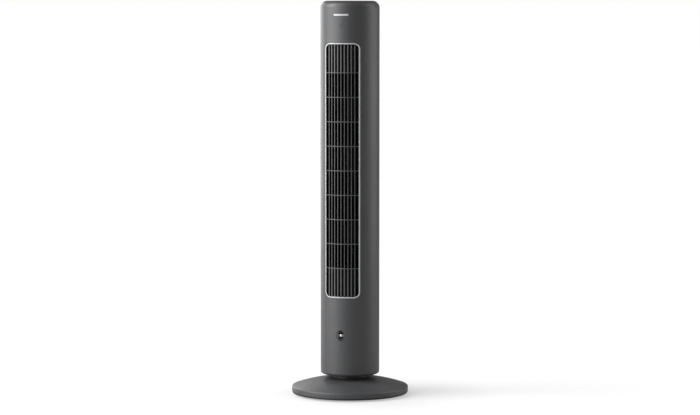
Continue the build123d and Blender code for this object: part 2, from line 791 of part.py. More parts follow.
def chamber_plate(low, high, hole_radius):
    """Round plate with a straight front edge and a hole for the cable."""
    tube(0, plate_radius, low, high)
    block((-80, 80), (-80, plate_front), (low, high), mode=Mode.SUBTRACT)
    posts(cable_radius + 1.2, low, high, [cable_point], mode=Mode.SUBTRACT)
    tube(0, hole_radius, low, high, impeller_centre, mode=Mode.SUBTRACT)


with BuildPart() as lower_chamber_plate:
    chamber_plate(chamber_bottom - 3.0, chamber_bottom, 14.0)

bearing_height = 10.0
axle_radius = 3.5
with BuildPart() as upper_chamber_plate:
    chamber_plate(chamber_top, chamber_top + 3.0, 5.0)
    cup_bottom = chamber_top + 3.0
    cup_top = cup_bottom + bearing_height + 2.0
    tube(9.05, 12.0, cup_bottom, cup_top, impeller_centre)
    tube(0, 12.0, cup_top - 2.0, cup_top, impeller_centre)

with BuildPart() as upper_bearing:
    tube(axle_radius + 0.04, 9.0, cup_bottom, cup_bottom + bearing_height - 0.2, impeller_centre)

# Curved rear wall of the air channel
with BuildPart() as scroll_wall:
    with BuildSketch(Plane.XY.offset(chamber_bottom)) as scroll:
        with BuildLine():
            ThreePointArc((-40, 50), (-60.7, 6), (-50.5, -52))
        trace(line_width=1.8)
    extrude(scroll.sketch, amount=chamber_top - chamber_bottom)

# Folded tongue that splits the suction side from the outlet
with BuildPart() as vortex_wall:
    with BuildSketch(Plane.XY.offset(chamber_bottom)) as tongue:
        with BuildLine():
            FilletPolyline((50.5, -52), (42.5, -26), (62, -15), radius=5)
        trace(line_width=1.8)
    extrude(tongue.sketch, amount=chamber_top - chamber_bottom)

# One curved blade, in the impeller's own plan
with BuildSketch() as blade:
    with BuildLine():
        ThreePointArc(
            (blade_inner_radius, 0),
            polar_point(blade_inner_radius + 7.0, math.radians(1.5)),
            polar_point(impeller_radius - 0.6, math.radians(9)),
        )
    trace(line_width=1.0)

# Stacked moulded segments, each a ring of blades on a thin disc, each turned a little from the last
with BuildPart() as impeller_segments:
    segment_turn = 5.0
    disc = 2.0
    for number in range(segment_count):
        low = impeller_bottom + number * segment_height
        high = low + segment_height - 0.05
        with BuildSketch(Plane.XY.offset(low)) as blade_ring:
            with Locations(impeller_centre):
                with PolarLocations(0, blade_count, start_angle=number * segment_turn):
                    add(blade.sketch)
        extrude(blade_ring.sketch, amount=high - low)
        opening = 12.0 if number == 0 else 31.0
        tube(opening, impeller_radius, low, low + disc, impeller_centre)
    tube(axle_radius + 0.02, impeller_radius, impeller_top - 0.05 - disc, impeller_top - 0.05, impeller_centre)
    tube(axle_radius + 0.02, 9.0, impeller_top - 20.0, impeller_top - 1.0, impeller_centre)

with BuildPart() as impeller_hub:
    tube(shaft_radius + 0.02, 11.9, impeller_bottom - 6.0, impeller_bottom + 10.0, impeller_centre)
    tube(shaft_radius + 0.02, 16.0, impeller_bottom - 6.0, impeller_bottom - 0.1, impeller_centre)

with BuildPart() as top_axle:
    tube(0, axle_radius, impeller_top - 20.0, cup_top - 2.5, impeller_centre)

# ---------------------------------------------------------------- electronics

board_front = 40.0
board_back = board_front + board_thickness
with BuildPart() as main_board:
    block((-45, 45), (board_front, board_back), (112, 192))
    rods(screw_clearance_hole, board_front - 1, board_back + 1, board_posts, mode=Mode.SUBTRACT)

# Transformer, run capacitor, relays, smoothing capacitors and sockets
with BuildPart() as board_parts:
    block((-30, 2), (14, board_front), (124, 152))
    block((10, 32), (20, board_front), (124, 158))
    for height in (166.0, 178.0):
        block((14, 30), (24, board_front), (height - 5, height + 5))
    rods(5.0, 20, board_front, [(-26, 164), (-12, 164), (2, 164)])
    block((-24, -8), (32, board_front), (174, 182))

# Screws of the boards, the swing drive and the fan motor
with BuildPart() as machine_screws:
    rods(screw_head_radius, board_front - screw_head_height, board_front, board_posts)
    rods(screw_radius, board_front, 52, board_posts)
    board_underside = board_top - board_thickness
    posts(screw_head_radius, board_underside - screw_head_height, board_underside, panel_screw_points)
    posts(screw_radius, board_underside, 1046.0, panel_screw_points)
    posts(screw_head_radius, ear_top - 0.5, ear_top - 0.5 + screw_head_height, ear_points)
    posts(screw_radius, motor_plate_top - 3.0, ear_top - 0.5, ear_points)
    posts(screw_head_radius, bracket_top, bracket_top + screw_head_height, bracket_points)
    posts(screw_radius, 73.0, bracket_top, bracket_points)
    head_bottom = bracket_bottom - screw_head_height
    posts(screw_head_radius, head_bottom, bracket_bottom, swing_motor_screw_points)
    posts(screw_radius, bracket_bottom, 91.0, swing_motor_screw_points)

# Cable from the main board up to the control board
with BuildPart() as panel_cable:
    with BuildLine() as cable_route:
        FilletPolyline(
            (-16, 31.5, 178),
            (-16, 8, 178),
            (-56, -18, 184),
            (*cable_point, 208),
            (*cable_point, 1000),
            (-38, -30, 1016),
            (-38, -30, board_top - board_thickness - 0.3),
            radius=7,
        )
    with BuildSketch(Plane(origin=cable_route.line @ 0, z_dir=cable_route.line % 0)) as cable_section:
        Circle(cable_radius)
    sweep(cable_section.sketch, path=cable_route.line)

# ---------------------------------------------------------------- write the parts

pieces = {
    "base_tray": base_tray,
    "base_cover": base_cover,
    "ballast_plate": ballast_plate,
    "rubber_feet": rubber_feet,
    "base_screws": base_screws,
    "cord_gland": cord_gland,
    "swivel_post": swivel_post,
    "glide_ring": glide_ring,
    "thrust_washer": thrust_washer,
    "swing_gear": swing_gear,
    "gear_clip": gear_clip,
    "turntable_plate": turntable_plate,
    "front_shell": front_shell,
    "rear_shell": rear_shell,
    "shell_screws": shell_screws,
    "intake_grille": intake_grille,
    "carry_handle": carry_handle,
    "front_grille": front_grille,
    "blank_panels": blank_panels,
    "trim_ring": trim_ring,
    "top_cap": top_cap,
    "control_panel": control_panel,
    "control_board": control_board,
    "display_module": display_module,
    "tact_switches": tact_switches,
    "ir_window": ir_window,
    "ir_receiver": ir_receiver,
    "badge_plate": badge_plate,
    "aroma_sleeve": aroma_sleeve,
    "aroma_cap": aroma_cap,
    "scent_pad": scent_pad,
    "swing_bracket": swing_bracket,
    "swing_motor": swing_motor,
    "drive_pinion": drive_pinion,
    "motor_plate": motor_plate,
    "motor_mounts": motor_mounts,
    "motor_shell_lower": motor_shell_lower,
    "motor_shell_upper": motor_shell_upper,
    "motor_bushes": motor_bushes,
    "stator_core": stator_core,
    "stator_windings": stator_windings,
    "motor_rotor": motor_rotor,
    "motor_shaft": motor_shaft,
    "lower_chamber_plate": lower_chamber_plate,
    "upper_chamber_plate": upper_chamber_plate,
    "upper_bearing": upper_bearing,
    "scroll_wall": scroll_wall,
    "vortex_wall": vortex_wall,
    "impeller_segments": impeller_segments,
    "impeller_hub": impeller_hub,
    "top_axle": top_axle,
    "main_board": main_board,
    "board_parts": board_parts,
    "machine_screws": machine_screws,
    "panel_cable": panel_cable,
    **buttons,
}

for node, piece in pieces.items():
    piece.part.label = node
    export_step(piece.part, f"parts/{node}.step")
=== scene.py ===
import bmesh
import bpy
import math
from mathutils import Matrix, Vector


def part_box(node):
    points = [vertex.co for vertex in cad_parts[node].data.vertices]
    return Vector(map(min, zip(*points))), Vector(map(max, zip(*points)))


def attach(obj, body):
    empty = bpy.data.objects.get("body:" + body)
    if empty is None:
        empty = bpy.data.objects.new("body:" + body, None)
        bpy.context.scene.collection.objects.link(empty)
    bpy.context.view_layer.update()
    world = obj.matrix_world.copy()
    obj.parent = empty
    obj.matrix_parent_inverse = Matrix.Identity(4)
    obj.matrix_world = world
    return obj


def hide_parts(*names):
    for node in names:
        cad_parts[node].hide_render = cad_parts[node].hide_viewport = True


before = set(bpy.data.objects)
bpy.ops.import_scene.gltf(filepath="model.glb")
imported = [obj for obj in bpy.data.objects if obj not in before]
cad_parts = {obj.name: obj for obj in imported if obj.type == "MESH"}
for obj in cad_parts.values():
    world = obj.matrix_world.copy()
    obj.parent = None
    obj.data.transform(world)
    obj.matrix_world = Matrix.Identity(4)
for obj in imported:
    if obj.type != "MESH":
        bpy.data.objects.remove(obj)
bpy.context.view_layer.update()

MM = 0.001


# ---------------------------------------------------------------- materials

FLOW_MARKS = 9.0  # noise scale of the flow marks in moulded plastic
GLOSS_CHANGE = 0.03
GRAIN_STRENGTH = 0.35
GRAIN_DEPTH = 0.04 * MM
BRUSHED_DARK = 0.9
BRUSHED_LIGHT = 1.08
BRUSHED_SHINE = 0.06
BRUSHED_DULL = 0.08
BRUSHED_STRENGTH = 0.15
BRUSHED_DEPTH = 0.05 * MM
RUBBER_BLOOM = 1.6
RUBBER_STRENGTH = 0.4
RUBBER_DEPTH = 0.08 * MM


def shader(name):
    """A new node material, with its tree, its shader and the object's own coordinates."""
    material = bpy.data.materials.new(name)
    material.use_nodes = True
    tree = material.node_tree
    coordinates = tree.nodes.new("ShaderNodeTexCoord")
    return material, tree, tree.nodes["Principled BSDF"], coordinates.outputs["Object"]


def noise(tree, coordinates, scale, detail=3.0, roughness=0.5):
    """A noise texture on the coordinates given; its grain size is 1 / scale metres."""
    node = tree.nodes.new("ShaderNodeTexNoise")
    node.inputs["Scale"].default_value = scale
    node.inputs["Detail"].default_value = detail
    node.inputs["Roughness"].default_value = roughness
    tree.links.new(coordinates, node.inputs["Vector"])
    return node.outputs["Fac"]


def spread(tree, value, low, high):
    """Maps a noise value from its usual 0.3 to 0.7 to low and high."""
    node = tree.nodes.new("ShaderNodeMapRange")
    node.inputs["From Min"].default_value = 0.3
    node.inputs["From Max"].default_value = 0.7
    node.inputs["To Min"].default_value = low
    node.inputs["To Max"].default_value = high
    tree.links.new(value, node.inputs["Value"])
    return node.outputs["Result"]


def tint(tree, value, dark, light):
    """A colour that varies between two tones with a value."""
    node = tree.nodes.new("ShaderNodeMix")
    node.data_type = "RGBA"
    node.inputs["A"].default_value = (*dark, 1)
    node.inputs["B"].default_value = (*light, 1)
    tree.links.new(value, node.inputs["Factor"])
    return node.outputs["Result"]


def bump(tree, principled, height, strength, distance):
    """Bump from a height value, with its depth in metres."""
    node = tree.nodes.new("ShaderNodeBump")
    node.inputs["Strength"].default_value = strength
    node.inputs["Distance"].default_value = distance
    tree.links.new(height, node.inputs["Height"])
    tree.links.new(node.outputs["Normal"], principled.inputs["Normal"])


def moulded(name, tone, roughness, grain=1800.0, depth=GRAIN_DEPTH, variation=0.08, shine=0.5):
    """Moulded plastic: a fine spark-eroded grain, faint flow marks and a little gloss variation."""
    material, tree, principled, place = shader(name)
    cloud = noise(tree, place, FLOW_MARKS, 4.0)
    fine = noise(tree, place, grain, 2.0)
    dark = [c * (1 - variation) for c in tone]
    light = [c * (1 + variation) for c in tone]
    tree.links.new(tint(tree, cloud, dark, light), principled.inputs["Base Color"])
    gloss = spread(tree, cloud, roughness - GLOSS_CHANGE, roughness + GLOSS_CHANGE)
    tree.links.new(gloss, principled.inputs["Roughness"])
    principled.inputs["Specular IOR Level"].default_value = shine
    bump(tree, principled, fine, GRAIN_STRENGTH, depth)
    return material


def metal(name, tone, roughness, stretch=(1, 1, 40), scale=60.0):
    """Metal with a fine brushed or drawn grain along one axis."""
    material, tree, principled, place = shader(name)
    mapping = tree.nodes.new("ShaderNodeMapping")
    mapping.inputs["Scale"].default_value = stretch
    tree.links.new(place, mapping.inputs["Vector"])
    streak = noise(tree, mapping.outputs["Vector"], scale, 4.0, 0.6)
    dark = [c * BRUSHED_DARK for c in tone]
    light = [min(1.0, c * BRUSHED_LIGHT) for c in tone]
    tree.links.new(tint(tree, streak, dark, light), principled.inputs["Base Color"])
    gloss = spread(tree, streak, roughness - BRUSHED_SHINE, roughness + BRUSHED_DULL)
    tree.links.new(gloss, principled.inputs["Roughness"])
    principled.inputs["Metallic"].default_value = 1.0
    bump(tree, principled, streak, BRUSHED_STRENGTH, BRUSHED_DEPTH)
    return material


def rubber(name, tone):
    """Matt rubber with a coarse soft grain and a dusty bloom."""
    material, tree, principled, place = shader(name)
    cloud = noise(tree, place, 60.0, 5.0)
    bloom = [c * RUBBER_BLOOM for c in tone]
    tree.links.new(tint(tree, cloud, tone, bloom), principled.inputs["Base Color"])
    tree.links.new(spread(tree, cloud, 0.7, 0.9), principled.inputs["Roughness"])
    bump(tree, principled, noise(tree, place, 900.0, 2.0), RUBBER_STRENGTH, RUBBER_DEPTH)
    return material


SHELL_TONE = (0.040, 0.041, 0.043)
GRILLE_TONE = (0.052, 0.053, 0.056)
BLACK_TONE = (0.006, 0.006, 0.0065)
# near-black painted shade, for hollows and gaps that the lamps leave dark
PAINTED_SHADE_TONE = (0.0015, 0.0015, 0.0016)
SILVER_TONE = (0.42, 0.42, 0.43)
MARK_TONE = (0.55, 0.55, 0.56)
GLOSS_TONE = (0.006, 0.006, 0.007)
SMOKED_TONE = (0.028, 0.028, 0.030)
BOARD_TONE = (0.01, 0.09, 0.03)
materials = {
    "shell": moulded("shell_plastic", SHELL_TONE, 0.46),
    "grille": moulded("grille_plastic", GRILLE_TONE, 0.42),
    "black": moulded("black_plastic", BLACK_TONE, 0.55, 1200.0, 0.06 * MM),
    # painted shade: darker and less shiny than the black plastic, for insides and gaps seen only in
    # shade
    "painted_shade_black": moulded("painted_shade_black_plastic", PAINTED_SHADE_TONE, 0.8, 1200.0, 0.04 * MM, 0.08, 0.12),
    "silver": moulded("silver_paint", SILVER_TONE, 0.28, 2600.0, 0.02 * MM, 0.04),
    "satin": metal("satin_metal_paint", (0.40, 0.40, 0.41), 0.34, (1, 1, 1), 500.0),
    "mark": moulded("printed_mark", MARK_TONE, 0.5, 3000.0, 0.01 * MM),
    "gloss": moulded("gloss_black", GLOSS_TONE, 0.07, 400.0, 0.003 * MM, 0.2),
    "smoked": moulded("smoked_plastic", SMOKED_TONE, 0.30, 400.0, 0.003 * MM, 0.1),
    "acetal": moulded("acetal_plastic", (0.70, 0.68, 0.62), 0.42),
    "board": moulded("board_laminate", BOARD_TONE, 0.35, 2500.0, 0.03 * MM),
    "component": moulded("component_plastic", (0.02, 0.02, 0.022), 0.4),
    "rubber": rubber("soft_rubber", (0.012, 0.012, 0.012)),
    "steel": metal("zinc_steel", (0.55, 0.56, 0.58), 0.32),
    "lamination": metal("laminated_steel", (0.28, 0.28, 0.29), 0.45, (1, 1, 400), 8.0),
    "bronze": metal("sintered_bronze", (0.55, 0.38, 0.18), 0.45, (1, 1, 1), 900.0),
    "copper": metal("enamelled_copper", (0.60, 0.22, 0.09), 0.3, (1, 1, 1), 700.0),
    "aluminium": metal("turned_aluminium", (0.75, 0.75, 0.77), 0.25),
    "felt": rubber("felt_pad", (0.55, 0.52, 0.46)),
}

NODE_MATERIALS = {
    "shell": "base_cover front_shell rear_shell top_cap aroma_sleeve",
    "grille": "front_grille",
    "black": "base_tray swivel_post turntable_plate carry_handle intake_grille button_timer "
             "button_mode button_power button_speed button_swing aroma_cap shell_screws",
    # blank panels, scroll and vortex walls and impeller segments take the near-black painted shade,
    # for the shade deep inside the column
    "painted_shade_black": "blank_panels scroll_wall vortex_wall impeller_segments",
    "silver": "trim_ring badge_plate",
    "gloss": "control_panel",
    "smoked": "ir_window",
    "acetal": "glide_ring swing_gear drive_pinion",
    "board": "control_board main_board",
    "component": "board_parts tact_switches ir_receiver upper_bearing display_module",
    "rubber": "rubber_feet cord_gland motor_mounts panel_cable",
    "steel": "ballast_plate base_screws machine_screws thrust_washer gear_clip swing_bracket "
             "motor_plate motor_shell_lower motor_shell_upper motor_shaft top_axle "
             "lower_chamber_plate upper_chamber_plate swing_motor",
    "lamination": "stator_core motor_rotor",
    "bronze": "motor_bushes",
    "copper": "stator_windings",
    "aluminium": "impeller_hub",
    "felt": "scent_pad",
}
CAD_CREASE = math.radians(32)
PIECE_CREASE = math.radians(38)


def finish_cad_nodes():
    """Gives every CAD node its material and smooth shading with crisp edges."""
    for kind, names in NODE_MATERIALS.items():
        for name in names.split():
            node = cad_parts[name]
            node.data.materials.clear()
            node.data.materials.append(materials[kind])
            node.data.shade_smooth()
            node.data.set_sharp_from_angle(angle=CAD_CREASE)


finish_cad_nodes()


# ---------------------------------------------------------------- mesh tools

WELD_DISTANCE = 1e-7
CORNER_STEPS = 8
SIDE_STEPS = 24
ARC_STEPS = 28


def make_piece(name, loops, kind, body, *nodes):
    """One object from sweeps, riding on a body and standing for the CAD nodes named.

    Each sweep is a list of rings of points, and says whether its last ring meets its first.
    """
    vertices = []
    faces = []
    for rings, closed in loops:
        start = len(vertices)
        count = len(rings[0])
        for ring in rings:
            vertices.extend(ring)
        pairs = [(k, k + 1) for k in range(len(rings) - 1)]
        if closed:
            pairs.append((len(rings) - 1, 0))
        for here, there in pairs:
            for k in range(count):
                after = (k + 1) % count
                faces.append(
                    [
                        start + here * count + k,
                        start + here * count + after,
                        start + there * count + after,
                        start + there * count + k,
                    ]
                )
        if not closed:
            faces.append([start + k for k in range(count)])
            faces.append([start + (len(rings) - 1) * count + k for k in range(count)])
    mesh = bpy.data.meshes.new(name)
    mesh.from_pydata([tuple(v) for v in vertices], [], faces)
    tidy = bmesh.new()
    tidy.from_mesh(mesh)
    bmesh.ops.remove_doubles(tidy, verts=tidy.verts, dist=WELD_DISTANCE)
    bmesh.ops.recalc_face_normals(tidy, faces=tidy.faces)
    tidy.to_mesh(mesh)
    tidy.free()
    mesh.materials.append(materials[kind])
    mesh.shade_smooth()
    mesh.set_sharp_from_angle(angle=PIECE_CREASE)
    piece = bpy.data.objects.new(name, mesh)
    bpy.context.scene.collection.objects.link(piece)
    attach(piece, body)
    if nodes:
        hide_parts(*nodes)


def rounded_outline(width, height, radius, steps=4):
    """Points round a rectangle with rounded corners, centred on the origin."""
    points = []
    for quarter in range(4):
        side_x = 1 if quarter in (0, 3) else -1
        side_y = 1 if quarter in (0, 1) else -1
        centre_x = side_x * (width / 2 - radius)
        centre_y = side_y * (height / 2 - radius)
        for k in range(steps + 1):
            turn = math.pi / 2 * (quarter + k / steps)
            points.append((centre_x + radius * math.cos(turn), centre_y + radius * math.sin(turn)))
    return points


def on_column(x, radius, z, side=-1):
    """The point of an upright cylinder at x and z, on the front (-1) or the rear (1)."""
    return Vector((x, side * math.sqrt(radius * radius - x * x), z))


def window_path(half_width, low, high, corner):
    """Points (x, z) round a tall rounded opening, each with its outward direction in XZ."""
    path = []
    for quarter in range(4):
        side_x = 1 if quarter in (0, 3) else -1
        centre_x = side_x * (half_width - corner)
        centre_z = high - corner if quarter in (0, 1) else low + corner
        for k in range(CORNER_STEPS + 1):
            turn = math.pi / 2 * (quarter + k / CORNER_STEPS)
            across, up = math.cos(turn), math.sin(turn)
            path.append((centre_x + corner * across, centre_z + corner * up, across, up))
        if quarter in (0, 2):
            end = -centre_x
            for k in range(1, SIDE_STEPS):
                x = centre_x + (end - centre_x) * k / SIDE_STEPS
                path.append((x, centre_z + corner * up, 0.0, up))
    return path


def frame_loop(half_width, low, high, corner, section, side=-1):
    """A closed frame that follows the column; the section holds (inset, radius) points."""
    rings = []
    for x, z, across, up in window_path(half_width, low, high, corner):
        ring = []
        for inset, radius in section:
            ring.append(on_column(x - inset * across, radius, z - inset * up, side))
        rings.append(ring)
    return rings, True


def upright_bar(angle, outer, depth, width, low, high, softness):
    """A straight upright bar that faces outward at an angle from the front, in radians."""
    outward = Vector((math.sin(angle), -math.cos(angle), 0))
    along = Vector((math.cos(angle), math.sin(angle), 0))
    outline = rounded_outline(width, depth, softness)
    rings = []
    for z in (low, high):
        ring = []
        for t, r in outline:
            ring.append(along * t + outward * (outer - depth / 2 + r) + Vector((0, 0, z)))
        rings.append(ring)
    return rings, False


def arc_bar(half_angle, outline, centre_radius, height, side=-1):
    """A bar bent round the column; the outline holds (radial, upright) offsets from its middle."""
    rings = []
    for k in range(ARC_STEPS + 1):
        angle = half_angle * (2 * k / ARC_STEPS - 1)
        ring = []
        for radial, upright in outline:
            radius = centre_radius + radial
            y = side * radius * math.cos(angle)
            ring.append(Vector((radius * math.sin(angle), y, height + upright)))
        rings.append(ring)
    return rings, False


def polar_ring(radius, height, centre, turns=48):
    """A level ring of points round a centre."""
    ring = []
    for k in range(turns):
        turn = 2 * math.pi * k / turns
        x = centre.x + radius * math.cos(turn)
        ring.append(Vector((x, centre.y + radius * math.sin(turn), height)))
    return ring


# ---------------------------------------------------------------- front grille and trim

BAR_COUNT = 9
BAR_SPREAD = math.radians(55)
BAR_DEPTH = 2.2 * MM
END_BAR_WIDTH = 3.5 * MM
BAR_WIDTH = 2.0 * MM
BAR_SOFTNESS = 0.24  # corner radius, as a share of the bar's width
BAR_END_INSET = 2 * MM
FIN_DEPTH = 4.0 * MM
FIN_WIDTH = 1.6 * MM
FIN_SETBACK = 2.0 * MM
FIN_SOFTNESS = 0.3 * MM
RIB_COUNT = 9
RIB_PITCH = 64.9 * MM
FIRST_RIB = 79.2 * MM
RIB_SETBACK = 1.6 * MM
RIB_DEPTH = 3.6 * MM
RIB_HEIGHT = 2.0 * MM
RIB_SOFTNESS = 0.8 * MM
OPENING_CORNER = 15 * MM
GRILLE_SETBACK = 1.2 * MM
BEAD_SEAT = 0.45 * MM
BEAD_PROUD = 0.9 * MM
BEAD_WIDTH = 3.0 * MM
BEAD_SHOULDER = 0.42  # height of the bead's round part, as a share of its width
BEAD_STEPS = 12
# Points of the grille's border: inset from the opening's edge, and radius from the grille's, in mm
BORDER_SECTION = ((0.15, -3.4), (0.15, 0.1), (0.35, 0.3), (2.7, 0.3), (3.1, -0.1), (3.1, -3.4))
trim_low, trim_high = (Vector(c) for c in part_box("trim_ring"))
column_radius = (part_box("front_shell")[1][0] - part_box("front_shell")[0][0]) / 2
grille_radius = column_radius - GRILLE_SETBACK


def make_trim():
    """The bright half-round bead pressed into the edge of the opening."""
    seat = grille_radius + BEAD_SEAT
    crown = column_radius + BEAD_PROUD
    rise = BEAD_WIDTH * BEAD_SHOULDER
    section = [(0.0, seat), (0.0, crown - rise)]
    for k in range(1, BEAD_STEPS):
        turn = math.pi * k / BEAD_STEPS
        inset = BEAD_WIDTH / 2 * (1 - math.cos(turn))
        section.append((inset, crown - rise * (1 - math.sin(turn))))
    section += [(BEAD_WIDTH, crown - rise), (BEAD_WIDTH, seat)]
    loop = frame_loop(trim_high.x, trim_low.z, trim_high.z, OPENING_CORNER, section)
    make_piece("trim_bead", [loop], "silver", "column", "trim_ring")


def make_front_grille():
    """Upright bars with fins behind them, thin cross ribs and the border that joins them; the fins
    are near-black painted shade for the gaps between the bars.
    """
    lowest = trim_low.z + FIRST_RIB
    highest = lowest + (RIB_COUNT - 1) * RIB_PITCH
    stretches = (
        (trim_low.z + BAR_END_INSET, lowest, END_BAR_WIDTH),
        (lowest, highest, BAR_WIDTH),
        (highest, trim_high.z - BAR_END_INSET, END_BAR_WIDTH),
    )
    fin_radius = grille_radius - FIN_SETBACK
    fin_size = (FIN_DEPTH, FIN_WIDTH, lowest, highest, FIN_SOFTNESS)
    loops = []
    fins = []
    for k in range(BAR_COUNT):
        angle = BAR_SPREAD * (k / (BAR_COUNT - 1) - 0.5)
        for low, high, width in stretches:
            softness = width * BAR_SOFTNESS
            loops.append(upright_bar(angle, grille_radius, BAR_DEPTH, width, low, high, softness))
        fins.append(upright_bar(angle, fin_radius, *fin_size))
    # the fins take the near-black painted shade, which darkens the gaps between the bars
    make_piece("grille_fins", fins, "painted_shade_black", "column")
    rib_reach = math.asin((trim_high.x - BAR_END_INSET) / grille_radius)
    rib_section = rounded_outline(RIB_DEPTH, RIB_HEIGHT, RIB_SOFTNESS)
    for k in range(RIB_COUNT):
        height = lowest + k * RIB_PITCH
        loops.append(arc_bar(rib_reach, rib_section, grille_radius - RIB_SETBACK, height))
    border = [(inset * MM, grille_radius + rise * MM) for inset, rise in BORDER_SECTION]
    loops.append(frame_loop(trim_high.x, trim_low.z, trim_high.z, OPENING_CORNER, border))
    make_piece("grille_bars", loops, "grille", "column", "front_grille")


make_trim()
make_front_grille()


# ---------------------------------------------------------------- rear intake and shell joint

INTAKE_CORNER = 12 * MM
INTAKE_SETBACK = 0.4 * MM
INTAKE_BARS = 9
INTAKE_BAR_PITCH = 12.8 * MM
INTAKE_BAR_SIZE = 2.4 * MM
INTAKE_BAR_SOFTNESS = 0.9 * MM
INTAKE_BAR_INSET = 1.5 * MM
LOUVRE_PITCH = 10 * MM
LOUVRE_DEPTH = 8.5 * MM
LOUVRE_RISE = 10.5 * MM
LOUVRE_THICKNESS = 0.8 * MM
LOUVRE_SETBACK = 1.4 * MM
LOUVRE_MARGIN = 1.0 * MM
# Points of the intake's frame: inset from its edge, and radius from its outer face, in mm
INTAKE_SECTION = ((0.0, -2.5), (0.0, -0.3), (0.3, 0.0), (2.6, 0.0), (3.0, -0.4), (3.0, -2.5))
# Points of the shells' gasket: radius from the column's face, and half thickness, in mm
GASKET_SECTION = ((-2.2, 0.08), (-2.0, 0.12), (-0.6, 0.12), (-0.4, 0.06))
GASKET_STEPS = 20
GASKET_FOOT = 8 * MM
GASKET_HEAD = 14 * MM


def louvre_reach(height, low, high, half_width, outer):
    """Half the angle that a louvre spans, which is less beside the intake's rounded corners."""
    edge = min(height - low, high - height) - LOUVRE_RISE / 2
    inset = 0.0
    if edge < INTAKE_CORNER:
        rest = INTAKE_CORNER - edge
        inset = INTAKE_CORNER - math.sqrt(max(0.0, INTAKE_CORNER * INTAKE_CORNER - rest ** 2))
    return math.asin((half_width - LOUVRE_MARGIN - inset) / outer)


def make_intake():
    """Sloping louvres behind upright bars, in a rounded frame; they hide the air channel."""
    low, high = (Vector(c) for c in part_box("intake_grille"))
    outer = column_radius - INTAKE_SETBACK
    half_depth, half_rise = LOUVRE_DEPTH / 2, LOUVRE_RISE / 2
    louvre = [
        (half_depth, -half_rise),
        (half_depth, -half_rise + LOUVRE_THICKNESS),
        (0.0, LOUVRE_THICKNESS * 0.4),
        (-half_depth, half_rise),
        (-half_depth, half_rise - LOUVRE_THICKNESS),
        (0.0, -LOUVRE_THICKNESS * 0.8),
    ]
    middle_radius = outer - LOUVRE_SETBACK - half_depth
    count = int((high.z - low.z) / LOUVRE_PITCH)
    first = (low.z + high.z) / 2 - LOUVRE_PITCH * (count - 1) / 2
    loops = []
    for k in range(count):
        height = first + k * LOUVRE_PITCH
        reach = louvre_reach(height, low.z, high.z, high.x, outer)
        loops.append(arc_bar(reach, louvre, middle_radius, height, side=1))
    border = [(inset * MM, outer + rise * MM) for inset, rise in INTAKE_SECTION]
    loops.append(frame_loop(high.x, low.z, high.z, INTAKE_CORNER, border, side=1))
    size = INTAKE_BAR_SIZE
    bar_ends = (low.z + INTAKE_BAR_INSET, high.z - INTAKE_BAR_INSET)
    for k in range(INTAKE_BARS):
        x = (k - INTAKE_BARS // 2) * INTAKE_BAR_PITCH
        angle = math.pi - math.asin(x / outer)
        loops.append(upright_bar(angle, outer, size, size, *bar_ends, INTAKE_BAR_SOFTNESS))
    make_piece("intake_louvres", loops, "black", "column", "intake_grille")


def make_seam_gasket():
    """The thin dark strips that close the two joints between the front and rear shells."""
    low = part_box("front_shell")[0][2] + GASKET_FOOT
    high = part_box("front_shell")[1][2] - GASKET_HEAD
    section = list(GASKET_SECTION) + [(x, -y) for x, y in reversed(GASKET_SECTION)]
    loops = []
    for side in (-1, 1):
        rings = []
        for k in range(GASKET_STEPS + 1):
            height = low + (high - low) * k / GASKET_STEPS
            ring = [Vector((side * (column_radius + x * MM), y * MM, height)) for x, y in section]
            rings.append(ring)
        loops.append((rings, False))
    make_piece("seam_gasket", loops, "black", "column")


make_intake()
make_seam_gasket()


# ---------------------------------------------------------------- scent cap

CAP_SETBACK = 1.35 * MM
CAP_GAP = 0.05 * MM
CAP_WALL = 1.6 * MM
CAP_TURNS = 72
CAP_EDGE = 0.4 * MM
CAP_FLOOR = 6.0 * MM
# Ovals of the cap's recess, from inside its lip outwards: half width, half height and depth, in mm
RECESS_LIP = ((8.4, 12.6, 3.2), (8.5, 12.7, 0.4), (8.8, 12.9, 0.0))
# Ovals of the opening through the cap's floor, in the same terms
RECESS_BACK = ((7.0, 9.0, 6.0), (7.0, 9.0, 3.6))
RECESS_WIDTH = 8.35 * MM
RECESS_HEIGHT = 12.55 * MM
BOWL_STEPS = 8
BOWL_RIM = 0.9 * MM
BOWL_SHRINK = 0.96
GRIP_STEPS = 24
GRIP_TURNS = 16
GRIP_REACH = 8.2 * MM
GRIP_DEPTH = 4.6 * MM
GRIP_FULLNESS = 0.7
# Half height and crown of the grip in its middle, and what each gains at its ends, in mm
GRIP_HALF, GRIP_FLARE = 3.3, 0.8
GRIP_CROWN, GRIP_SWELL = 0.45, 0.5
STUD_OFFSET = 0.6 * MM
# Points of the stud from its middle outwards and back: radius and depth, in mm
STUD_PROFILE = (
    (0.1, -1.15), (1.0, -1.13), (1.9, -1.06), (2.7, -0.93), (3.3, -0.76), (3.6, -0.58),
    (3.7, -0.35), (3.7, 1.5), (0.1, 1.5),
)


def facing_front(x, z, depth, centre):
    """A point on a cap that faces the front; depth is measured back from the cap's front plane."""
    return Vector((centre.x + x, centre.y + depth, centre.z + z))


def oval(width, height, depth, centre, x=0.0):
    """An oval ring that faces the front, from its half width and half height."""
    ring = []
    for k in range(CAP_TURNS):
        turn = 2 * math.pi * k / CAP_TURNS
        across, up = width * math.cos(turn), height * math.sin(turn)
        ring.append(facing_front(x + across, up, depth, centre))
    return ring


